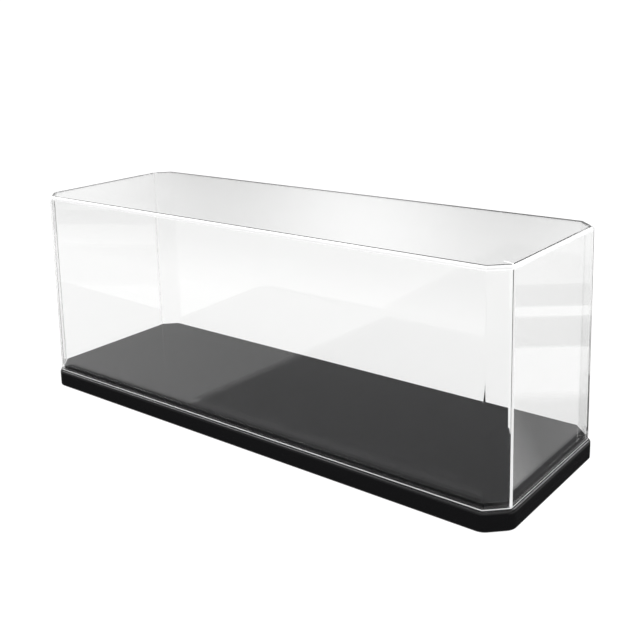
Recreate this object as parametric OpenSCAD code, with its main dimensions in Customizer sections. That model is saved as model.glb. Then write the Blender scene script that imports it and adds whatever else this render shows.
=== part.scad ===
// Long model display case: a clear moulded cover that drops over the raised deck of a black base.
// Millimetres, +Z up. The origin is the middle of the footprint, on the plane the base stands on.
// Length runs along X and depth along Y.

/* [Cover] */
// Length of the cover over its outside, at its bottom edge
cover_length = 250; // [160:1:400]
// Depth of the cover over its outside, at its bottom edge
cover_depth = 83.5; // [60:0.5:160]
// Height of the cover from its bottom edge to the top of its roof
cover_height = 89; // [40:0.5:200]
// Thickness of the clear walls and roof
cover_wall = 1.8; // [1.5:0.1:3]
// Lean of the clear walls inwards as they rise, in degrees
cover_draft = 0.7; // [0:0.1:1.5]
// Radius round the outside of the roof's edge
roof_edge_r = 2.6; // [2:0.1:4]
// Flat that breaks both bottom edges of the cover
lead_in = 0.3; // [0.1:0.1:0.5]

/* [Corners] */
// Length that each corner flat takes off the end and the side
corner_leg = 7.6; // [5:0.1:12]
// Radius of the cover's outer creases, beside each corner flat
cover_crease_r = 2.4; // [1:0.1:4]
// Radius of the base's creases, beside each corner flat
base_crease_r = 4.5; // [1:0.1:6]

/* [Base] */
// Height of the base's side, from its resting plane to the ledge that carries the cover
side_height = 7.7; // [6:0.1:15]
// How far the base stands out beyond the cover all round
flange = 1.2; // [0.8:0.1:3]
// Radius of the shoulder between the base's side and its ledge
shoulder_r = 1.1; // [0.4:0.1:2]
// Rise of the deck above the ledge
deck_rise = 2.6; // [1.5:0.1:5]
// Gap between the deck and the inside of the cover all round
deck_gap = 0.3; // [0.2:0.05:1]
// Radius round the deck's top edge
deck_edge_r = 0.6; // [0.2:0.1:1]
// Radius round the base's bottom edge
foot_edge_r = 0.5; // [0.2:0.1:0.8]

/* [Underside] */
// Thickness of the base's walls and deck
base_wall = 2; // [1.6:0.1:3]
// Thickness of the ribs
rib_thickness = 1.6; // [1:0.1:2.5]
// How far the ribs stop short of the resting plane
rib_recess = 1.2; // [0.5:0.1:3]
// Number of ribs across the depth
cross_ribs = 3; // [1:1:6]

/* [Hidden] */
clear_plastic = [0.85, 0.93, 0.96, 0.35];
black_plastic = [0.06, 0.06, 0.07];
// The corner flats turn the plan by one eighth of a circle at each of its eight creases.
crease_turn = 45;
// What a corner flat's leg gains for each unit that the plan grows outwards.
leg_per_grow = 2 - sqrt(2);
crease_steps = 6;
edge_steps = 6;
least_crease_r = 0.5;
deck_inset = cover_wall + deck_gap;
deck_top = side_height + deck_rise;
roof_inner_r = max(roof_edge_r - cover_wall, 0.8);
cut_clearance = 1;

// The eight corners of the plan, for half lengths a and b and a corner flat of leg c.
function plan_corners(a, b, c) = [
    [a, b - c], [a - c, b], [c - a, b], [-a, b - c],
    [-a, c - b], [c - a, -b], [a - c, -b], [a, c - b]
];

// The arc of radius r that rounds one crease of the plan.
function crease_arc(corner, k, r) =
    let (middle = crease_turn * (k + 0.5), back = r / cos(crease_turn / 2))
    [for (i = [0 : crease_steps])
        let (turn = crease_turn * (k + i / crease_steps))
        corner - back * [cos(middle), sin(middle)] + r * [cos(turn), sin(turn)]];

// The plan of the cover's bottom edge, moved outwards by grow, with creases of radius r.
function plan(grow, r) =
    let (corners = plan_corners(cover_length / 2 + grow, cover_depth / 2 + grow,
                                corner_leg + leg_per_grow * grow))
    [for (k = [0 : len(corners) - 1]) each crease_arc(corners[k], k, r)];

// A section is [height, grow, crease radius]. The creases follow the plan as it grows or shrinks.
function section(z, grow, crease_r) = [z, grow, max(crease_r + grow, least_crease_r)];

// Sections of a quarter round of radius r that ends at height top, on a side at grow.
function rounded_top(top, grow, r, crease_r) =
    [for (i = [0 : edge_steps])
        let (turn = 90 * i / edge_steps)
        section(top - r + r * sin(turn), grow - r + r * cos(turn), crease_r)];

// Sections of a quarter round of radius r that starts at height bottom and meets a side at grow.
function rounded_foot(bottom, grow, r, crease_r) =
    [for (i = [0 : edge_steps])
        let (turn = 90 * i / edge_steps)
        section(bottom + r - r * cos(turn), grow - r + r * sin(turn), crease_r)];

// How far a wall that starts at the cover's bottom edge has leaned inwards at height z above it.
function lean(z) = z * tan(cover_draft);

// The solid whose skin passes through the plan at each section, from the lowest to the highest.
module loft(sections) {
    rings = [for (s = sections) [for (p = plan(s[1], s[2])) [p.x, p.y, s[0]]]];
    per_ring = len(rings[0]);
    last = len(rings) - 1;
    bottom = [for (i = [0 : per_ring - 1]) i];
    top = [for (i = [per_ring - 1 : -1 : 0]) last * per_ring + i];
    sides = [for (j = [0 : last - 1], i = [0 : per_ring - 1])
        let (low = j * per_ring, high = low + per_ring, next = (i + 1) % per_ring)
        [low + i, high + i, high + next, low + next]];
    polyhedron(points = [for (r = rings) each r], faces = concat([bottom], sides, [top]));
}

// The outer skin of the cover, with its bottom edge at height 0.
module cover_outside() {
    loft(concat(
        [section(0, -lead_in, cover_crease_r)],
        [section(lead_in, -lean(lead_in), cover_crease_r)],
        rounded_top(cover_height, -lean(cover_height - roof_edge_r), roof_edge_r, cover_crease_r)
    ));
}

// The hollow of the cover, which runs out through its bottom edge.
module cover_inside() {
    inner_top = cover_height - cover_wall;
    loft(concat(
        [section(-cut_clearance, lead_in - cover_wall, cover_crease_r)],
        [section(0, lead_in - cover_wall, cover_crease_r)],
        [section(lead_in, -cover_wall - lean(lead_in), cover_crease_r)],
        rounded_top(inner_top, -cover_wall - lean(inner_top), roof_inner_r, cover_crease_r)
    ));
}

module clear_cover() {
    color(clear_plastic)
        translate([0, 0, side_height])
            difference() {
                cover_outside();
                cover_inside();
            }
}

// The base's outer skin: its foot, side and shoulder, the ledge under the cover, and the deck.
module base_outside() {
    loft(concat(
        rounded_foot(0, flange, foot_edge_r, base_crease_r),
        rounded_top(side_height, flange, shoulder_r, base_crease_r),
        [section(side_height, -deck_inset, cover_crease_r)],
        rounded_top(deck_top, -deck_inset, deck_edge_r, cover_crease_r)
    ));
}

// The hollow under the base, one wall thickness inside its skin.
module base_hollow() {
    step_z = side_height - base_wall;
    side_in = flange - base_wall;
    deck_in = -deck_inset - base_wall;
    loft([
        section(-cut_clearance, side_in, base_crease_r),
        section(step_z, side_in, base_crease_r),
        section(step_z, deck_in, cover_crease_r),
        section(deck_top - base_wall, deck_in, cover_crease_r)
    ]);
}

// One long rib and the cross ribs, which the hollow is cut around.
module ribs() {
    pitch = cover_length / (cross_ribs + 1);
    translate([-cover_length / 2, -rib_thickness / 2, rib_recess])
        cube([cover_length, rib_thickness, deck_top]);
    for (i = [1 : cross_ribs])
        translate([i * pitch - cover_length / 2 - rib_thickness / 2, -cover_depth / 2, rib_recess])
            cube([rib_thickness, cover_depth, deck_top]);
}

module base() {
    color(black_plastic)
        difference() {
            base_outside();
            difference() {
                base_hollow();
                ribs();
            }
        }
}

clear_cover();
base();
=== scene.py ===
"""Long model display case: a clear moulded cover that lifts off the raised deck of a glossy black base.

Lengths are in metres, +Z is up, +X runs along the case and -Y is its front.
"""

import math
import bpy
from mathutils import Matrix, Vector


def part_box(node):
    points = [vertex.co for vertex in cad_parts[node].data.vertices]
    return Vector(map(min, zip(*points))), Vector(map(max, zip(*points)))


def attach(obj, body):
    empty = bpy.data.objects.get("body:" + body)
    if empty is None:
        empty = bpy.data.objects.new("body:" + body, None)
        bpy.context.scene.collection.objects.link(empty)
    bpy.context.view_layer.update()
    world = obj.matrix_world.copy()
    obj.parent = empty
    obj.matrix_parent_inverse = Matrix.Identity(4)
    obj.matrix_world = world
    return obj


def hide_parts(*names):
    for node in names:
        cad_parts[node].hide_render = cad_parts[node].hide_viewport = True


bl_info = {
    "name": "Long model display case",
    "version": (1, 0, 0),
    "blender": (4, 5, 0),
    "location": "View3D > Sidebar > Display case",
    "description": "Builds a clear cover, a ribbed black base and a small studio around a packed frame",
    "category": "Add Mesh",
}

from collections import namedtuple

import bpy
from bpy.props import FloatProperty, FloatVectorProperty, IntProperty, PointerProperty
from mathutils import Matrix, Vector

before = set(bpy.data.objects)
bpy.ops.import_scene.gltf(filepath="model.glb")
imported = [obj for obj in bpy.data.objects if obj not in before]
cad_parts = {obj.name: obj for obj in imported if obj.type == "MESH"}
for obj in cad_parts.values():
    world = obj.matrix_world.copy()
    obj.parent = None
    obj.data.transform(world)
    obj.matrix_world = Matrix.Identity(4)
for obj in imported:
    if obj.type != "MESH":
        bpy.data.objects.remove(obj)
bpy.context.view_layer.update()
cover_low, cover_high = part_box("clear_cover")
base_low, base_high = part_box("base")

MM = 0.001
# The plan has eight corners, and the outline turns by the same angle at each of them.
CORNER_TURN = math.pi / 4
# What the leg of a corner flat gains for each metre that the plan grows outwards.
LEG_PER_GROWTH = 2 - math.sqrt(2)
# Steps round each upright crease, and round each rounded edge.
CREASE_STEPS = 8
EDGE_STEPS = 8
# The plan's creases never get sharper than this.
LEAST_CREASE = 0.5 * MM
# How far a crease's look reaches past its curve, where nothing else is said.
RUN_OUT = 0.25 * MM
# Material slots of the cover: polished; milky, a white diffuse that paints a glow on the edges; hardly
# bending light; and rubbed, partly white diffuse that paints the end creases lighter.
CLEAR, PAINTED_GLOW, FAINT, PAINTED_LIGHTER = range(4)
# Slots of the upright creases at the ends of the right wall (7, 0) and the left wall (3, 4),
# which are counted to the left round the cover, seen from above.
OUTER_CREASES = {0: PAINTED_LIGHTER, 3: PAINTED_LIGHTER, 4: PAINTED_LIGHTER, 7: PAINTED_GLOW}
INNER_CREASES = dict.fromkeys((0, 3, 4, 7), FAINT)
# Material slot of the base's underside. Its outside has slot 0.
HIDDEN = 1
# Least and greatest roughness of the black plastic, as shares of what is set.
SMOOTHEST, DULLEST = 0.85, 1.25
FLOOR_SIDES = 96
# How far off the case the mirrored flags start, how far they reach, how far a crisp edge of one
# fades, and the first one's level and the step in height from one to the next.
FLAG_GAP = 1 * MM
FLAG_REACH = 900 * MM
CRISP_EDGE = 1 * MM
FIRST_LEVEL = 2
FLAG_STEP = 0.05 * MM
# Elevations of the sky's parts: a horizon, a band of patches, a dark gap and a plain top.
HORIZON_END, BAND_START, BAND_END = (math.radians(a) for a in (4, 9, 14.5))
GAP_START, GAP_END, HIGH_START = (math.radians(a) for a in (18, 30, 40))


# Sizes and colours


class CoverSizes(bpy.types.PropertyGroup):
    """Sizes of the clear cover."""

    wall: FloatProperty(
        name="Wall", description="Thickness of the clear walls and roof",
        default=1.8 * MM, min=MM, unit="LENGTH", precision=5)
    draft: FloatProperty(
        name="Draft", description="Lean of the walls inwards as they rise",
        default=math.radians(0.7), min=0, subtype="ANGLE")
    roof_edge_radius: FloatProperty(
        name="Roof edge radius", description="Radius round the outside of the roof's edge",
        default=1.3 * MM, min=MM, unit="LENGTH", precision=5)
    roof_crown_radius: FloatProperty(
        name="Roof crown radius", description="Radius where the roof turns into its edge",
        default=0.5 * MM, min=0.1 * MM, unit="LENGTH", precision=5)
    roof_bevel: FloatProperty(
        name="Roof bevel", description="What the roof's edge loses before it is rounded",
        default=0.9 * MM, min=0.1 * MM, unit="LENGTH", precision=5)
    inner_edge_radius: FloatProperty(
        name="Inner edge radius", description="Radius round the inside of the roof's edge",
        default=0.4 * MM, min=0.1 * MM, unit="LENGTH", precision=5)
    crease_radius: FloatProperty(
        name="Crease radius", description="Radius of the upright creases beside each corner flat",
        default=1.2 * MM, min=0.1 * MM, unit="LENGTH", precision=5)
    inner_run_out: FloatProperty(
        name="Inner run-out", description="How far the inner creases' look reaches past their curves",
        default=0.6 * MM, min=0.01 * MM, unit="LENGTH", precision=5)
    corner_leg: FloatProperty(
        name="Corner leg", description="What a corner flat takes off the end and off the side",
        default=7.6 * MM, min=MM, unit="LENGTH", precision=5)
    rim_radius: FloatProperty(
        name="Rim radius", description="Radius that breaks both bottom edges",
        default=0.5 * MM, min=0.05 * MM, unit="LENGTH", precision=5)
    # A band of milky white paints this bright line, standing in for the light that the clear wall's
    # bottom edge catches.
    painted_rim_glow: FloatProperty(
        name="Rim glow", description="Height of the bright line along the outer wall's bottom",
        default=0.7 * MM, min=0.5 * MM, unit="LENGTH", precision=5)


class BaseSizes(bpy.types.PropertyGroup):
    """Sizes of the black base."""

    ledge_height: FloatProperty(
        name="Ledge height", description="Height of the ledge that carries the cover",
        default=cover_low.z, unit="LENGTH", precision=5)
    wall: FloatProperty(
        name="Wall", description="Thickness of the base's walls and deck",
        default=2 * MM, min=MM, unit="LENGTH", precision=5)
    deck_gap: FloatProperty(
        name="Deck gap", description="Room between the deck and the inside of the cover",
        default=0.3 * MM, min=0, unit="LENGTH", precision=5)
    foot_radius: FloatProperty(
        name="Foot radius", description="Radius round the bottom edge",
        default=0.5 * MM, min=0.1 * MM, unit="LENGTH", precision=5)
    shoulder_radius: FloatProperty(
        name="Shoulder radius", description="Radius between the side and the ledge",
        default=1.1 * MM, min=0.1 * MM, unit="LENGTH", precision=5)
    deck_edge_radius: FloatProperty(
        name="Deck edge radius", description="Radius round the deck's top edge",
        default=0.6 * MM, min=0.1 * MM, unit="LENGTH", precision=5)
    inside_radius: FloatProperty(
        name="Inside radius", description="Radius of the corners where hidden walls meet",
        default=0.2 * MM, min=0.05 * MM, unit="LENGTH", precision=5)
    crease_radius: FloatProperty(
        name="Crease radius", description="Radius of the side's creases beside each corner flat",
        default=4.5 * MM, min=0.1 * MM, unit="LENGTH", precision=5)


class RibSizes(bpy.types.PropertyGroup):
    """Sizes of the ribs under the base."""

    count: IntProperty(
        name="Cross ribs", description="Number of ribs across the depth", default=3, min=1)
    thickness: FloatProperty(
        name="Thickness", description="Thickness of every rib",
        default=1.6 * MM, min=0.5 * MM, unit="LENGTH", precision=5)
    recess: FloatProperty(
        name="Recess", description="How far the ribs stop short of the resting plane",
        default=1.2 * MM, min=0, unit="LENGTH", precision=5)
    bite: FloatProperty(
        name="Bite", description="How far the ribs run into the walls they stand on",
        default=0.4 * MM, min=0, unit="LENGTH", precision=5)
    edge_radius: FloatProperty(
        name="Edge radius", description="Radius that breaks the ribs' free edges",
        default=0.2 * MM, min=0, unit="LENGTH", precision=5)


class Finishes(bpy.types.PropertyGroup):
    """Colours and gloss of the two plastics."""

    clear_tint: FloatVectorProperty(
        name="Clear tint", description="Tint of the clear plastic",
        default=(0.96, 0.961, 0.959), subtype="COLOR", min=0, max=1)
    # Where a milky edge doesn't let light pass straight through, it is white diffuse that paints a glow
    # on the roof's edge, the rim's bright line and the near crease.
    painted_glow_tint: FloatVectorProperty(
        name="Edge tint", description="Colour that the rounded clear edges gather",
        default=(0.96, 0.96, 0.96), subtype="COLOR", min=0, max=1)
    edge_clearness: FloatProperty(
        name="Edge clearness", description="Share of light that passes straight through an edge",
        default=0.2, min=0, max=1)
    clear_roughness: FloatVectorProperty(
        name="Clear roughness", description="Least and greatest roughness of the clear walls",
        size=2, default=(0, 0.02), min=0, max=1)
    # The milky edges' roughness; these edges carry a painted glow.
    edge_roughness: FloatVectorProperty(
        name="Edge roughness", description="Least and greatest roughness of the milky edges",
        size=2, default=(0.05, 0.15), min=0, max=1)
    # Rubbed creases are partly white diffuse, which paints the creases at the ends lighter.
    crease_roughness: FloatVectorProperty(
        name="Crease roughness", description="Least and greatest roughness of the rubbed creases",
        size=2, default=(0.02, 0.1), min=0, max=1)
    clear_ior: FloatProperty(
        name="Clear IOR", description="How strongly the clear plastic bends light",
        default=1.5, min=1, max=2)
    crease_ior: FloatProperty(
        name="Crease IOR", description="How strongly the faint and rubbed creases bend light",
        default=1.1, min=1, max=2)
    # What doesn't pass straight through a rubbed crease is white diffuse that paints it lighter.
    crease_clearness: FloatProperty(
        name="Crease clearness",
        description="Share of light that passes straight through a rubbed crease",
        default=0.65, min=0, max=1)
    lamp_pass: FloatVectorProperty(
        name="Lamp pass", description="Share of a lamp's light that each clear face lets through",
        default=(0.95, 0.95, 0.95), subtype="COLOR", min=0, max=1)
    black: FloatVectorProperty(
        name="Black", description="Colour of the base", default=(0.006, 0.006, 0.0065),
        subtype="COLOR", min=0, max=1)
    black_specular: FloatProperty(
        name="Black specular", description="Strength of the black plastic's mirror shine",
        default=0.2, min=0, max=1)
    black_roughness: FloatProperty(
        name="Black roughness", description="Roughness of the base's outside",
        default=0.1, min=0, max=1)
    hidden_roughness: FloatProperty(
        name="Hidden roughness", description="Roughness of the base's underside",
        default=0.5, min=0, max=1)
    black_peel: FloatProperty(
        name="Black peel", description="Strength of the orange peel on the base's outside",
        default=0.15, min=0, max=1)
    hidden_peel: FloatProperty(
        name="Hidden peel", description="Strength of the orange peel on the base's underside",
        default=0.4, min=0, max=1)


class StudioSettings(bpy.types.PropertyGroup):
    """The floor, lights and camera around the case."""

    floor_colour: FloatVectorProperty(
        name="Floor colour", description="Colour of the floor",
        default=(0.1, 0.1, 0.1), subtype="COLOR", min=0, max=1)
    floor_glow: FloatProperty(
        name="Floor glow", description="Light that comes through the floor from below",
        default=0.94, min=0)
    floor_radius: FloatProperty(
        name="Floor radius", description="Radius of the round floor",
        default=4, min=1, unit="LENGTH")
    horizon: FloatProperty(
        name="Horizon", description="Brightness of the sky at the horizon", default=1.1, min=0)
    low_sky: FloatProperty(
        name="Low sky", description="Mean brightness of the sky that the roof mirrors",
        default=0.74, min=0)
    sky_swing: FloatProperty(
        name="Sky swing", description="How much the low sky brightens and darkens along itself",
        default=0.17, min=0)
    sky_period: FloatProperty(
        name="Sky period", description="Angle from one bright patch of the low sky to the next",
        default=math.radians(18), min=0.01, subtype="ANGLE")
    sky_centre: FloatProperty(
        name="Sky centre", description="Bearing of the brightest patch, turned left from +Y",
        default=math.radians(35), subtype="ANGLE")
    dark_sky: FloatProperty(
        name="Dark sky", description="Brightness of the gap over the low sky", default=0.33, min=0)
    high_sky: FloatProperty(
        name="High sky", description="Brightness of the sky above", default=0.45, min=0)
    lamp_strengths: FloatVectorProperty(
        name="Lamp strengths", description="Strengths of the lamps overhead, at the left and behind",
        size=3, default=(2.4, 1.2, 1.2), min=0)
    lamp_spreads: FloatVectorProperty(
        name="Lamp spreads", description="Angles that the lamps overhead, at the left and behind fill",
        size=3, default=[math.radians(a) for a in (100, 30, 30)], min=0, unit="ROTATION")
    lamp_bearings: FloatVectorProperty(
        name="Lamp bearings", description="Where the three lamps stand, turned right from +Y",
        size=3, default=[math.radians(a) for a in (145, -95, 5)], unit="ROTATION")
    lamp_elevations: FloatVectorProperty(
        name="Lamp elevations", description="How high the three lamps stand over the floor",
        size=3, default=[math.radians(a) for a in (73, 45, 38)], unit="ROTATION")
    # The skirt, flags, stripes and mirrored floors are cards seen only in mirror images; their shades
    # paint the reflections on the glossy base and the clear walls.
    skirt_widths: FloatVectorProperty(
        name="Skirt widths", description="How far the skirt reaches out along the sides and the ends",
        size=2, default=(17 * MM, 9 * MM), min=0, unit="LENGTH", precision=5)
    skirt_shade: FloatProperty(
        name="Skirt shade", description="Brightness of the flag close round the base",
        default=0.05, min=0)
    floor_shades: FloatVectorProperty(
        name="Floor shades", description="Brightness of the mirrored floor in front and at the right",
        size=2, default=(0.92, 1), min=0)
    front_flag_left: FloatProperty(
        name="Front flag left", description="Left end of the dark flag that the front wall mirrors",
        default=-45 * MM, unit="LENGTH", precision=5)
    front_flag_steps: FloatVectorProperty(
        name="Front flag steps", description="How far forward the front flag turns black, and ends",
        size=2, default=(-74 * MM, -228 * MM), unit="LENGTH", precision=5)
    front_flag_shades: FloatVectorProperty(
        name="Front flag shades", description="Brightness of the front flag's grey and black parts",
        size=2, default=(0.32, 0.22), min=0)
    front_flag_edges: FloatVectorProperty(
        name="Front flag edges",
        description="How far the edges of the front flag's grey, black and corner parts fade",
        size=3, default=(3 * MM, 8 * MM, 4 * MM), min=0, unit="LENGTH", precision=5)
    # This darkening is painted into mirror images only; the floor itself stays evenly bright.
    mirrored_front_fade: FloatVectorProperty(
        name="Front fade", description="Where the floor before the case starts to darken, and is dark",
        size=2, default=(-228 * MM, -330 * MM), unit="LENGTH", precision=5)
    stripe_bearing: FloatProperty(
        name="Stripe bearing", description="Way in which the right stripes lie, turned right from +Y",
        default=math.radians(35), subtype="ANGLE")
    stripe_starts: FloatVectorProperty(
        name="Stripe starts", description="How far off the case's middle each right stripe starts",
        size=4, default=(70 * MM, 235 * MM, 309 * MM, 357 * MM), unit="LENGTH", precision=5)
    stripe_ends: FloatVectorProperty(
        name="Stripe ends", description="How far off the case's middle each right stripe ends",
        size=4, default=(155 * MM, 283 * MM, 357 * MM, 600 * MM), unit="LENGTH", precision=5)
    stripe_halves: FloatVectorProperty(
        name="Stripe halves", description="Half the length of each right stripe",
        size=4, default=(100 * MM, 200 * MM, 250 * MM, 400 * MM), unit="LENGTH", precision=5)
    stripe_shades: FloatVectorProperty(
        name="Stripe shades", description="Brightness of each right stripe",
        size=4, default=(0.53, 0.45, 0.45, 0.75), min=0)
    stripe_edges: FloatVectorProperty(
        name="Stripe edges", description="How far each right stripe's edges fade",
        size=4, default=(15 * MM, 5 * MM, 5 * MM, 5 * MM), min=0, unit="LENGTH", precision=5)
    lens: FloatProperty(
        name="Lens", description="Focal length of the camera in millimetres", default=53.45, min=1)
    camera_place: FloatVectorProperty(
        name="Camera place", description="Where the camera stands",
        default=(0.26037, -0.31495, 0.18140), subtype="TRANSLATION", precision=5)
    camera_turn: FloatVectorProperty(
        name="Camera turn", description="How the camera is turned",
        default=[math.radians(a) for a in (77.092, 1.607, 38.911)], subtype="EULER")
    camera_shift: FloatVectorProperty(
        name="Camera shift", description="Shift of the picture in the camera's frame",
        size=2, default=(0.0377, -0.1459))


# Shapes

# One corner of a profile: how far out of the cover's bottom plan it lies, its height, its own
# radius, the radius that the plan's creases would have with no growth, the material slots of the
# flat stretch that leads to it and of its own rounded edge, those of the creases there, and how
# far a crease's slot reaches past its curve.
Corner = namedtuple(
    "Corner", "growth height radius crease slot edge_slot creases run_out",
    defaults=(0, 0, {}, RUN_OUT))


def plan_corners(growth, leg):
    """The eight corners of the cover's bottom plan, moved outwards by growth."""
    a = (cover_high.x - cover_low.x) / 2 + growth
    b = (cover_high.y - cover_low.y) / 2 + growth
    c = leg + LEG_PER_GROWTH * growth
    return [Vector(p) for p in (
        (a, b - c), (a - c, b), (c - a, b), (-a, b - c),
        (-a, c - b), (c - a, -b), (a - c, -b), (a, c - b))]


def plan(growth, leg, radius, run_out):
    """The rounded plan as a list of (point, outward direction, crease number).

    Each crease starts and ends run_out before and after its round part.
    """
    found = []
    for k, corner in enumerate(plan_corners(growth, leg)):
        middle = CORNER_TURN * (k + 0.5)
        back = radius / math.cos(CORNER_TURN / 2)
        centre = corner - back * Vector((math.cos(middle), math.sin(middle)))
        steps = [0, *range(CREASE_STEPS + 1), CREASE_STEPS]
        runs = [-run_out, *[0] * (CREASE_STEPS + 1), run_out]
        for step, run in zip(steps, runs):
            turn = CORNER_TURN * (k + step / CREASE_STEPS)
            out = Vector((math.cos(turn), math.sin(turn)))
            along = Vector((-out.y, out.x))
            found.append((centre + radius * out + run * along, out, k))
    return found


def rounded_profile(corners):
    """The profile with its corners rounded, as a list of (point, normal, corner).

    The solid lies on the right of the profile's direction.
    """
    points = [Vector((c.growth, c.height)) for c in corners]
    ways = [(b - a).normalized() for a, b in zip(points, points[1:])]
    normals = [Vector((-w.y, w.x)) for w in ways]
    found = [(points[0], normals[0], corners[0])]
    for i, corner in enumerate(corners[1:-1]):
        before, after = normals[i], normals[i + 1]
        if corner.radius == 0:
            found.append((points[i + 1], before, corner))
            continue
        turn = math.atan2(before.cross(after), before.dot(after))
        side = math.copysign(1, turn)
        start = points[i + 1] - ways[i] * corner.radius * math.tan(abs(turn) / 2)
        centre = start + before * corner.radius * side
        for step in range(EDGE_STEPS + 1):
            normal = before.copy()
            normal.rotate(Matrix.Rotation(turn * step / EDGE_STEPS, 2))
            found.append((centre - normal * corner.radius * side, normal, corner))
    found.append((points[-1], normals[-1], corners[-1]))
    return found


def skin(name, corners, leg):
    """A closed mesh: the profile carried round the plan, with a flat cap at each of its ends."""
    points, normals, faces, slots = [], [], [], []
    profile = rounded_profile(corners)
    for (growth, height), (out, up), corner in profile:
        radius = max(corner.crease + growth, LEAST_CREASE)
        ring = plan(growth, leg, radius, corner.run_out)
        for spot, way, _ in ring:
            points.append((spot.x, spot.y, height))
            normals.append((out * way.x, out * way.y, up))
    count = len(ring)
    for j, (_, _, corner) in enumerate(profile[1:]):
        on_edge = profile[j][2] is corner
        low, high = j * count, (j + 1) * count
        for i in range(count):
            after = (i + 1) % count
            faces.append((low + i, high + i, high + after, low + after))
            slot = corner.edge_slot if on_edge else corner.slot
            if ring[i][2] == ring[after][2]:
                slot = corner.creases.get(ring[i][2], slot)
            slots.append(slot)
    faces += [tuple(range(count)), tuple(reversed(range(len(points) - count, len(points))))]
    slots += [corners[0].slot, corners[-1].slot]
    mesh = bpy.data.meshes.new(name)
    mesh.from_pydata(points, [], faces)
    mesh.polygons.foreach_set("material_index", slots)
    mesh.shade_smooth()
    mesh.normals_split_custom_set_from_vertices(normals)
    return mesh


def place(name, mesh, body, slot, *materials):
    """Puts a finished mesh in the scene, with any materials it lacks, riding on a CAD body."""
    piece = bpy.data.objects.new(name, mesh)
    bpy.context.collection.objects.link(piece)
    for material in materials:
        mesh.materials.append(material)
    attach(piece, body)
    return piece


# Materials


def adder(tree):
    """A function that adds a node to this tree, sets it up and links its inputs."""

    def add(kind, inputs=(), **settings):
        node = tree.nodes.new(kind)
        for key, value in settings.items():
            setattr(node, key, value)
        for key, value in dict(inputs).items():
            if isinstance(value, bpy.types.NodeSocket):
                tree.links.new(value, node.inputs[key])
            else:
                node.inputs[key].default_value = value
        return node

    return add


def new_material(name):
    """A node material with nothing in it, and the function that adds its nodes."""
    material = bpy.data.materials.new(name)
    material.use_nodes = True
    material.node_tree.nodes.clear()
    return material, adder(material.node_tree)


def clear_plastic(name, tint, ior, clearness, roughness_range):
    """Clear plastic with the slightest waviness and rubbed patches, which lets lamps through."""
    look = bpy.context.scene.display_case_finishes
    smooth, dull = roughness_range
    material, add = new_material(name)
    coordinates = add("ShaderNodeTexCoord")
    flow = add("ShaderNodeTexNoise", {
        "Vector": coordinates.outputs["Object"], "Scale": 14, "Detail": 1})
    waves = add("ShaderNodeBump", {
        "Height": flow.outputs["Fac"], "Strength": 0.2, "Distance": 0.05 * MM})
    rubbed = add("ShaderNodeTexNoise", {
        "Vector": coordinates.outputs["Object"], "Scale": 45, "Detail": 4, "Roughness": 0.6})
    roughness = add("ShaderNodeMapRange", {
        "Value": rubbed.outputs["Fac"], "From Min": 0.45, "From Max": 0.75,
        "To Min": smooth, "To Max": dull})
    # Where clearness is under 1, the rest is diffuse tint, which paints the milky edges' glow and the
    # rubbed creases' lighter look.
    plastic = add("ShaderNodeBsdfPrincipled", {
        "Base Color": (*tint, 1), "Roughness": roughness.outputs["Result"],
        "IOR": ior, "Transmission Weight": clearness,
        "Normal": waves.outputs["Normal"]})
    unseen = add("ShaderNodeBsdfTransparent", {"Color": (*look.lamp_pass, 1)})
    rays = add("ShaderNodeLightPath")
    either = add("ShaderNodeMixShader", {
        0: rays.outputs["Is Shadow Ray"], 1: plastic.outputs["BSDF"], 2: unseen.outputs["BSDF"]})
    add("ShaderNodeOutputMaterial", {"Surface": either.outputs["Shader"]})
    return material


def black_plastic(name, roughness, unevenness):
    """Black moulded plastic with a faint orange peel and uneven gloss."""
    look = bpy.context.scene.display_case_finishes
    material, add = new_material(name)
    coordinates = add("ShaderNodeTexCoord")
    peel = add("ShaderNodeTexNoise", {
        "Vector": coordinates.outputs["Object"], "Scale": 900, "Detail": 2})
    bumps = add("ShaderNodeBump", {
        "Height": peel.outputs["Fac"], "Strength": unevenness, "Distance": 0.005 * MM})
    handled = add("ShaderNodeTexNoise", {
        "Vector": coordinates.outputs["Object"], "Scale": 30, "Detail": 5, "Roughness": 0.65})
    gloss = add("ShaderNodeMapRange", {
        "Value": handled.outputs["Fac"], "From Min": 0.3, "From Max": 0.7,
        "To Min": roughness * SMOOTHEST, "To Max": roughness * DULLEST})
    plastic = add("ShaderNodeBsdfPrincipled", {
        "Base Color": (*look.black, 1), "Roughness": gloss.outputs["Result"],
        "Specular IOR Level": look.black_specular, "Normal": bumps.outputs["Normal"]})
    add("ShaderNodeOutputMaterial", {"Surface": plastic.outputs["BSDF"]})
    return material


# The rib frame, made by Geometry Nodes


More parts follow.
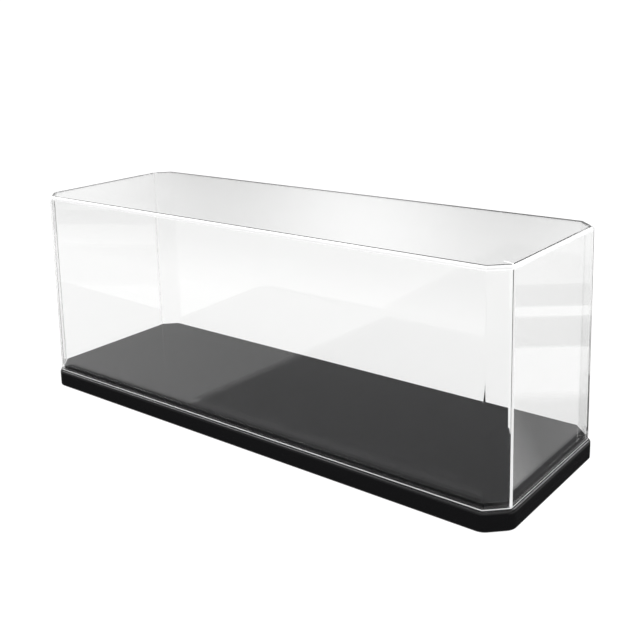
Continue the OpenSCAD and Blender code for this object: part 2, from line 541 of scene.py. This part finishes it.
def rib_tree():
    """A node tree that unites cross ribs along X with one long rib, each with a lower, wider part."""
    tree = bpy.data.node_groups.new("rib_frame", "GeometryNodeTree")
    face = tree.interface
    for name, kind in (
            ("Count", "NodeSocketInt"), ("Pitch", "NodeSocketFloat"), ("Low cross", "NodeSocketVector"),
            ("High cross", "NodeSocketVector"), ("Low long", "NodeSocketVector"),
            ("High long", "NodeSocketVector"), ("Foot", "NodeSocketFloat"),
            ("Material", "NodeSocketMaterial")):
        face.new_socket(name, in_out="INPUT", socket_type=kind)
    face.new_socket("Geometry", in_out="OUTPUT", socket_type="NodeSocketGeometry")

    add = adder(tree)
    given = add("NodeGroupInput").outputs
    spread = add("ShaderNodeMath", {0: given["Count"], 1: 1}, operation="SUBTRACT").outputs[0]
    half = add("ShaderNodeMath", {0: spread, 1: -0.5}, operation="MULTIPLY").outputs[0]
    first_x = add("ShaderNodeMath", {0: half, 1: given["Pitch"]}, operation="MULTIPLY").outputs[0]
    first = add("ShaderNodeCombineXYZ", {"X": first_x}).outputs[0]
    step = add("ShaderNodeCombineXYZ", {"X": given["Pitch"]}).outputs[0]
    line = add("GeometryNodeMeshLine", {
        "Count": given["Count"], "Start Location": first, "Offset": step}).outputs[0]
    parts = []
    for name in ("Low cross", "High cross", "Low long", "High long"):
        height = add("ShaderNodeSeparateXYZ", {0: given[name]}).outputs["Z"]
        half_height = add("ShaderNodeMath", {0: height, 1: 0.5}, operation="MULTIPLY").outputs[0]
        middle = add("ShaderNodeMath", {0: half_height, 1: given["Foot"]}).outputs[0]
        lift = add("ShaderNodeCombineXYZ", {"Z": middle}).outputs[0]
        block = add("GeometryNodeMeshCube", {"Size": given[name]}).outputs["Mesh"]
        part = add("GeometryNodeTransform", {"Geometry": block, "Translation": lift}).outputs[0]
        if name.endswith("cross"):
            row = add("GeometryNodeInstanceOnPoints", {"Points": line, "Instance": part})
            part = add("GeometryNodeRealizeInstances", {"Geometry": row.outputs[0]}).outputs[0]
        parts.append(part)
    union = add("GeometryNodeMeshBoolean", operation="UNION", solver="EXACT")
    for part in parts:
        tree.links.new(part, union.inputs["Mesh 2"])
    solid = add("GeometryNodeRealizeInstances", {"Geometry": union.outputs["Mesh"]}).outputs[0]
    dressed = add("GeometryNodeSetMaterial", {"Geometry": solid, "Material": given["Material"]})
    add("NodeGroupOutput", {"Geometry": dressed.outputs[0]})
    return tree


def grown_mesh(name, tree, values, bevel):
    """The plain mesh that a node tree makes from these values, with its edges broken."""
    maker = bpy.data.objects.new(name, bpy.data.meshes.new(name))
    bpy.context.collection.objects.link(maker)
    nodes = maker.modifiers.new("Nodes", "NODES")
    nodes.node_group = tree
    for item in tree.interface.items_tree:
        if item.in_out == "INPUT":
            nodes[item.identifier] = values[item.name]
    edges = maker.modifiers.new("Edges", "BEVEL")
    edges.width = bevel
    edges.segments = 2
    edges.limit_method = "ANGLE"
    made = maker.evaluated_get(bpy.context.evaluated_depsgraph_get())
    mesh = bpy.data.meshes.new_from_object(made)
    bpy.data.objects.remove(maker)
    mesh.name = name
    return mesh


# Operators


class DISPLAY_CASE_OT_cover(bpy.types.Operator):
    """Make the clear cover as one drafted shell with rounded edges"""

    bl_idname = "display_case.cover"
    bl_label = "Clear cover"

    def execute(self, context):
        size = context.scene.display_case_cover
        look = context.scene.display_case_finishes
        low, high = cover_low.z, cover_high.z
        lean = math.tan(size.draft)
        inner_top = high - size.wall
        # The caps start well inside the rounded edges.
        cap = -2 * (size.wall + size.roof_edge_radius)
        crease = size.crease_radius
        top_inset = lean * (high - low)
        inner_inset = lean * (inner_top - low)
        bevel = size.roof_bevel
        outer, inner = OUTER_CREASES, INNER_CREASES
        # Milky stretches paint a glow on the roof's edge and the band below it, the rim's bright line
        # and the near crease.
        corners = [
            Corner(cap, high, 0, crease),
            Corner(-top_inset - bevel, high, size.roof_crown_radius, crease, CLEAR, FAINT, outer),
            Corner(lean * bevel - top_inset, high - bevel, size.roof_edge_radius, crease,
                   PAINTED_GLOW, PAINTED_GLOW, outer),
            Corner(-inner_inset, inner_top, 0, crease, PAINTED_GLOW, PAINTED_GLOW, outer),
            Corner(-lean * size.painted_rim_glow, low + size.painted_rim_glow, 0, crease, CLEAR, CLEAR, outer),
            Corner(0, low, size.rim_radius, crease, PAINTED_GLOW, PAINTED_GLOW, outer),
            Corner(-size.wall, low, size.rim_radius, crease),
            Corner(-size.wall - inner_inset, inner_top, size.inner_edge_radius, crease,
                   CLEAR, FAINT, inner, size.inner_run_out),
            Corner(cap, inner_top, 0, crease),
        ]
        mesh = skin("cover_shell", corners, size.corner_leg)
        piece = place(
            "cover_shell", mesh, "cover", "clear_plastic",
            clear_plastic("clear_plastic", look.clear_tint, look.clear_ior, 1, look.clear_roughness),
            # White diffuse on the milky edges, which paints their glow.
            clear_plastic(
                "painted_glow_edges", look.painted_glow_tint, look.clear_ior, look.edge_clearness,
                look.edge_roughness),
            clear_plastic("clear_creases", look.clear_tint, look.crease_ior, 1, look.clear_roughness),
            # Partly white diffuse on creases 0, 3 and 4, which paints them lighter.
            clear_plastic(
                "creases_painted_lighter", look.clear_tint, look.crease_ior, look.crease_clearness,
                look.crease_roughness))
        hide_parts("clear_cover")
        return {"FINISHED"}


class DISPLAY_CASE_OT_base(bpy.types.Operator):
    """Make the black base: foot, side, shoulder, ledge and deck over one hollow"""

    bl_idname = "display_case.base"
    bl_label = "Black base"

    def execute(self, context):
        cover = context.scene.display_case_cover
        size = context.scene.display_case_base
        look = context.scene.display_case_finishes
        flange = base_high.x - cover_high.x
        inset = cover.wall + size.deck_gap
        top, ledge = base_high.z, size.ledge_height
        inside = size.inside_radius
        sharp, soft = cover.crease_radius, size.crease_radius
        corners = [
            Corner(-2 * inset, top, 0, sharp),
            Corner(-inset, top, size.deck_edge_radius, sharp),
            Corner(-inset, ledge, inside, sharp),
            Corner(flange, ledge, size.shoulder_radius, soft),
            Corner(flange, 0, size.foot_radius, soft),
            Corner(flange - size.wall, 0, inside, soft),
            Corner(flange - size.wall, ledge - size.wall, inside, soft, HIDDEN, HIDDEN),
            Corner(-inset - size.wall, ledge - size.wall, inside, sharp, HIDDEN, HIDDEN),
            Corner(-inset - size.wall, top - size.wall, inside, sharp, HIDDEN, HIDDEN),
            Corner(-2 * inset - size.wall, top - size.wall, 0, sharp, HIDDEN, HIDDEN),
        ]
        mesh = skin("base_shell", corners, cover.corner_leg)
        piece = place(
            "base_shell", mesh, "base", "black_plastic",
            black_plastic("black_gloss", look.black_roughness, look.black_peel),
            black_plastic("black_hidden", look.hidden_roughness, look.hidden_peel))
        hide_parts("base")
        return {"FINISHED"}


class DISPLAY_CASE_OT_ribs(bpy.types.Operator):
    """Make the ribs that stiffen the deck from below"""

    bl_idname = "display_case.ribs"
    bl_label = "Underside ribs"

    def execute(self, context):
        cover = context.scene.display_case_cover
        base = context.scene.display_case_base
        size = context.scene.display_case_ribs
        length, depth, _ = cover_high - cover_low
        low_in = 2 * (base_high.x - cover_high.x - base.wall + size.bite)
        high_in = 2 * (size.bite - cover.wall - base.deck_gap - base.wall)
        low_height = base.ledge_height - base.wall + size.bite - size.recess
        high_height = base_high.z - base.wall + size.bite - size.recess
        thick = size.thickness
        values = {
            "Count": size.count,
            "Pitch": length / (size.count + 1),
            "Low cross": (thick, depth + low_in, low_height),
            "High cross": (thick, depth + high_in, high_height),
            "Low long": (length + low_in, thick, low_height),
            "High long": (length + high_in, thick, high_height),
            "Foot": size.recess,
            "Material": bpy.data.materials["black_hidden"],
        }
        mesh = grown_mesh("underside_ribs", rib_tree(), values, size.edge_radius)
        piece = place("underside_ribs", mesh, "base", "black_plastic")
        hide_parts("base")
        return {"FINISHED"}


class DISPLAY_CASE_OT_studio(bpy.types.Operator):
    """Make the pale floor, the soft lights, the sky and the camera"""

    bl_idname = "display_case.studio"
    bl_label = "Studio"

    def execute(self, context):
        studio = context.scene.display_case_studio
        make_floor(studio)
        make_flags(studio)
        make_sky(context.scene, studio)
        make_lamps(studio)
        make_camera(context.scene, studio)
        return {"FINISHED"}


# Studio


def make_floor(studio):
    """A round pale floor under the case."""
    material, add = new_material("floor")
    paint = add("ShaderNodeBsdfPrincipled", {
        "Base Color": (*studio.floor_colour, 1), "Roughness": 0.9, "Specular IOR Level": 0,
        "Emission Color": (1, 1, 1, 1), "Emission Strength": studio.floor_glow})
    add("ShaderNodeOutputMaterial", {"Surface": paint.outputs["BSDF"]})
    mesh = bpy.data.meshes.new("floor")
    turns = [2 * math.pi * i / FLOOR_SIDES for i in range(FLOOR_SIDES)]
    rim = [(studio.floor_radius * math.cos(t), studio.floor_radius * math.sin(t), 0) for t in turns]
    mesh.from_pydata(rim, [], [tuple(range(FLOOR_SIDES))])
    mesh.materials.append(material)
    floor = bpy.data.objects.new("floor", mesh)
    bpy.context.collection.objects.link(floor)


def make_flag(name, outline, shade, soft, level):
    """A flat card just over the floor that shows only in mirror images and fades out round itself.

    Its outline is convex and runs to the left round the card, seen from above.
    """
    material, add = new_material(name)
    rays = add("ShaderNodeLightPath")
    mirrored = add("ShaderNodeMath", {
        0: rays.outputs["Glossy Depth"], 1: 0.5}, operation="GREATER_THAN")
    cover = add("ShaderNodeAttribute", attribute_name="cover")
    share = add("ShaderNodeMath", {
        0: mirrored.outputs[0], 1: cover.outputs["Fac"]}, operation="MULTIPLY")
    unseen = add("ShaderNodeBsdfTransparent")
    # The emission paints a grey reflection where a mirror image meets the card.
    grey = add("ShaderNodeEmission", {"Strength": shade})
    either = add("ShaderNodeMixShader", {
        0: share.outputs[0], 1: unseen.outputs[0], 2: grey.outputs[0]})
    add("ShaderNodeOutputMaterial", {"Surface": either.outputs[0]})
    inner = [Vector(point) for point in outline]
    count = len(inner)
    ways = [(inner[(k + 1) % count] - inner[k]).normalized() for k in range(count)]
    outs = [Vector((way.y, -way.x)) for way in ways]
    outer = [
        inner[k] + soft * (outs[k - 1] + outs[k]) / (1 + outs[k - 1].dot(outs[k]))
        for k in range(count)]
    faces = [tuple(range(count))]
    for k in range(count):
        after = (k + 1) % count
        faces.append((k, count + k, count + after, after))
    mesh = bpy.data.meshes.new(name)
    mesh.from_pydata([(p.x, p.y, level * FLAG_STEP) for p in inner + outer], [], faces)
    mesh.attributes.new("cover", "FLOAT", "POINT").data.foreach_set(
        "value", [1] * count + [0] * count)
    mesh.materials.append(material)
    flag = bpy.data.objects.new(name, mesh)
    flag.visible_camera = flag.visible_diffuse = flag.visible_shadow = False
    bpy.context.collection.objects.link(flag)


def rectangle(low, high):
    """The corners of an upright rectangle, to the left round it."""
    (x0, y0), (x1, y1) = low, high
    return [(x0, y0), (x1, y0), (x1, y1), (x0, y1)]


def stripe(bearing, near, far, half_length):
    """The corners of a stripe that lies across a bearing, from near to far off the origin."""
    ahead = Vector((math.sin(bearing), math.cos(bearing)))
    aside = half_length * Vector((ahead.y, -ahead.x))
    return [near * ahead + aside, far * ahead + aside, far * ahead - aside, near * ahead - aside]


def make_flags(studio):
    """Cards seen only in mirror images, which paint dark and grey reflections: close round the base, in
    front of the case, and in stripes at its right.
    """
    left, right = base_low.x - FLAG_GAP, base_high.x + FLAG_GAP
    front, back = base_low.y - FLAG_GAP, base_high.y + FLAG_GAP
    long, short = studio.skirt_widths
    start = studio.front_flag_left
    turn, end = studio.front_flag_steps
    grey, black = studio.front_flag_shades
    grey_edge, black_edge, corner_edge = studio.front_flag_edges
    fade_start, fade_end = studio.mirrored_front_fade
    in_front, at_right = studio.floor_shades
    reach, halfway = FLAG_REACH, FLAG_REACH / 2
    stripes = zip(("near_stripe", "middle_stripe", "far_stripe", "farthest_stripe"),
                  studio.stripe_starts, studio.stripe_ends, studio.stripe_halves,
                  studio.stripe_shades, studio.stripe_edges)
    rows = [
        ("mirrored_front_floor", rectangle((-reach, -reach), (reach, front)), in_front, CRISP_EDGE),
        ("mirrored_right_floor", rectangle((right, front), (reach, reach)), at_right, CRISP_EDGE),
        ("grey_flag", rectangle((start, turn), (right + short, front - long)), grey, grey_edge),
        ("black_flag", rectangle((start, end), (halfway, turn)), black, black_edge),
        ("corner_flag", rectangle((right + short, turn), (halfway, front)), black, corner_edge),
        ("mirrored_front_fade", rectangle((-reach, -reach), (reach, fade_end)), 0, fade_start - fade_end),
    ]
    for name, near, far, half, shade, soft in stripes:
        rows.append((name, stripe(studio.stripe_bearing, near, far, half), shade, soft))
    around = rectangle((left - short, front - long), (right + short, back + long + short))
    rows.append(("skirt", around, studio.skirt_shade, CRISP_EDGE))
    for level, (name, outline, shade, soft) in enumerate(rows, FIRST_LEVEL):
        make_flag(name, outline, shade, soft, level)


def make_sky(scene, studio):
    """A white horizon, a band of soft patches over it, and a plain sky above."""
    world = bpy.data.worlds.new("sky")
    world.use_nodes = True
    scene.world = world
    tree = world.node_tree
    tree.nodes.clear()
    add = adder(tree)
    coordinates = add("ShaderNodeTexCoord")
    way = add("ShaderNodeSeparateXYZ", {0: coordinates.outputs["Generated"]})
    backwards = add("ShaderNodeMath", {0: way.outputs["X"], 1: -1}, operation="MULTIPLY")
    bearing = add("ShaderNodeMath", {
        0: backwards.outputs[0], 1: way.outputs["Y"]}, operation="ARCTAN2")
    offset = add("ShaderNodeMath", {
        0: bearing.outputs[0], 1: studio.sky_centre}, operation="SUBTRACT")
    turn = add("ShaderNodeMath", {
        0: offset.outputs[0], 1: 2 * math.pi / studio.sky_period}, operation="MULTIPLY")
    wave = add("ShaderNodeMath", {0: turn.outputs[0]}, operation="COSINE")
    band = add("ShaderNodeMath", {
        0: wave.outputs[0], 1: studio.sky_swing, 2: studio.low_sky}, operation="MULTIPLY_ADD")
    leaving = add("ShaderNodeMapRange", {
        "Value": way.outputs["Z"], "From Min": math.sin(HORIZON_END),
        "From Max": math.sin(BAND_START), "To Min": studio.horizon,
        "To Max": band.outputs[0]}, interpolation_type="SMOOTHSTEP")
    sinking = add("ShaderNodeMapRange", {
        "Value": way.outputs["Z"], "From Min": math.sin(BAND_END),
        "From Max": math.sin(GAP_START), "To Min": leaving.outputs[0],
        "To Max": studio.dark_sky}, interpolation_type="SMOOTHSTEP")
    rising = add("ShaderNodeMapRange", {
        "Value": way.outputs["Z"], "From Min": math.sin(GAP_END),
        "From Max": math.sin(HIGH_START), "To Min": sinking.outputs[0],
        "To Max": studio.high_sky}, interpolation_type="SMOOTHSTEP")
    background = add("ShaderNodeBackground", {
        "Color": (1, 1, 1, 1), "Strength": rising.outputs[0]})
    add("ShaderNodeOutputWorld", {"Surface": background.outputs[0]})


def make_lamps(studio):
    """A very broad soft lamp overhead, and two smaller ones that the rounded edges mirror."""
    rows = zip(("overhead", "left_lamp", "back_lamp"), studio.lamp_strengths, studio.lamp_spreads,
               studio.lamp_bearings, studio.lamp_elevations)
    for name, strength, spread, bearing, elevation in rows:
        data = bpy.data.lights.new(name, "SUN")
        data.energy = strength
        data.angle = spread
        lamp = bpy.data.objects.new(name, data)
        lamp.rotation_euler = (math.pi / 2 - elevation, 0, math.pi - bearing)
        bpy.context.collection.objects.link(lamp)


def make_camera(scene, studio):
    """The camera, slightly above the case and at its right front."""
    data = bpy.data.cameras.new("camera")
    data.lens = studio.lens
    data.shift_x, data.shift_y = studio.camera_shift
    data.clip_start = 0.01
    camera = bpy.data.objects.new("camera", data)
    camera.location = studio.camera_place
    camera.rotation_euler = studio.camera_turn
    bpy.context.collection.objects.link(camera)
    scene.camera = camera
    scene.view_settings.view_transform = "Standard"


class DISPLAY_CASE_PT_panel(bpy.types.Panel):
    """The case's sizes and the buttons that make its pieces"""

    bl_idname = "DISPLAY_CASE_PT_panel"
    bl_label = "Display case"
    bl_space_type = "VIEW_3D"
    bl_region_type = "UI"
    bl_category = "Display case"

    def draw(self, context):
        layout = self.layout
        for settings in SETTINGS:
            group = getattr(context.scene, settings)
            box = layout.box()
            for key in group.bl_rna.properties.keys():
                if key not in ("rna_type", "name"):
                    box.prop(group, key)
        for operator in OPERATORS:
            layout.operator(operator.bl_idname)


SETTINGS = {
    "display_case_cover": CoverSizes,
    "display_case_base": BaseSizes,
    "display_case_ribs": RibSizes,
    "display_case_finishes": Finishes,
    "display_case_studio": StudioSettings,
}
OPERATORS = (
    DISPLAY_CASE_OT_cover,
    DISPLAY_CASE_OT_base,
    DISPLAY_CASE_OT_ribs,
    DISPLAY_CASE_OT_studio,
)


def register():
    """Add the classes to Blender, and their settings to its scenes."""
    for cls in (*SETTINGS.values(), *OPERATORS, DISPLAY_CASE_PT_panel):
        bpy.utils.register_class(cls)
    for name, cls in SETTINGS.items():
        setattr(bpy.types.Scene, name, PointerProperty(type=cls))


def unregister():
    """Take away what register added."""
    for name in SETTINGS:
        delattr(bpy.types.Scene, name)
    for cls in reversed((*SETTINGS.values(), *OPERATORS, DISPLAY_CASE_PT_panel)):
        bpy.utils.unregister_class(cls)


def main():
    """Make the stage and every piece."""
    register()
    bpy.ops.display_case.studio()
    bpy.ops.display_case.cover()
    bpy.ops.display_case.base()
    bpy.ops.display_case.ribs()


if __name__ == "__main__":
    main()
